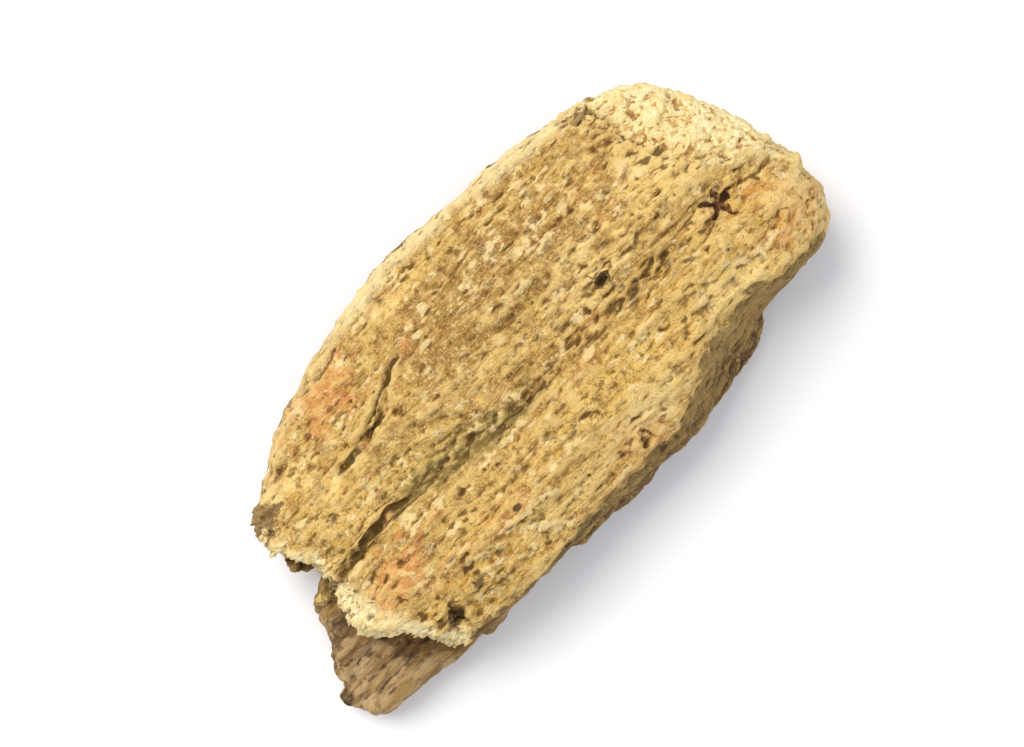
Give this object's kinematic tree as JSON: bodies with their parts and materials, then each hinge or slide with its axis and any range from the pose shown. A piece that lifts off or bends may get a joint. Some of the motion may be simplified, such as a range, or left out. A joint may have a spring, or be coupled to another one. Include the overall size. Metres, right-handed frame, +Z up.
{
  "type": "dried rhubarb root chip",
  "caption": "Coarse chip of dried rhubarb root: yellow-tan fibrous wood split by a lengthwise seam, brown skin along one side, and a tongue of skin at a broken end.",
  "frame": {"origin": "centre of the bounding box, on the knife-cut flat face that the chip lies on", "axes": "+X along the grain towards the end with the granular broken corner, +Y towards the thin pale rim, +Z up out of the flat face"},
  "size_m": [0.014, 0.0068, 0.0032],
  "materials": {
    "root": "matt, dry, fibrous"
  },
  "bodies": {
    "root": {"root_chip": "root"}
  },
  "joints": []
}
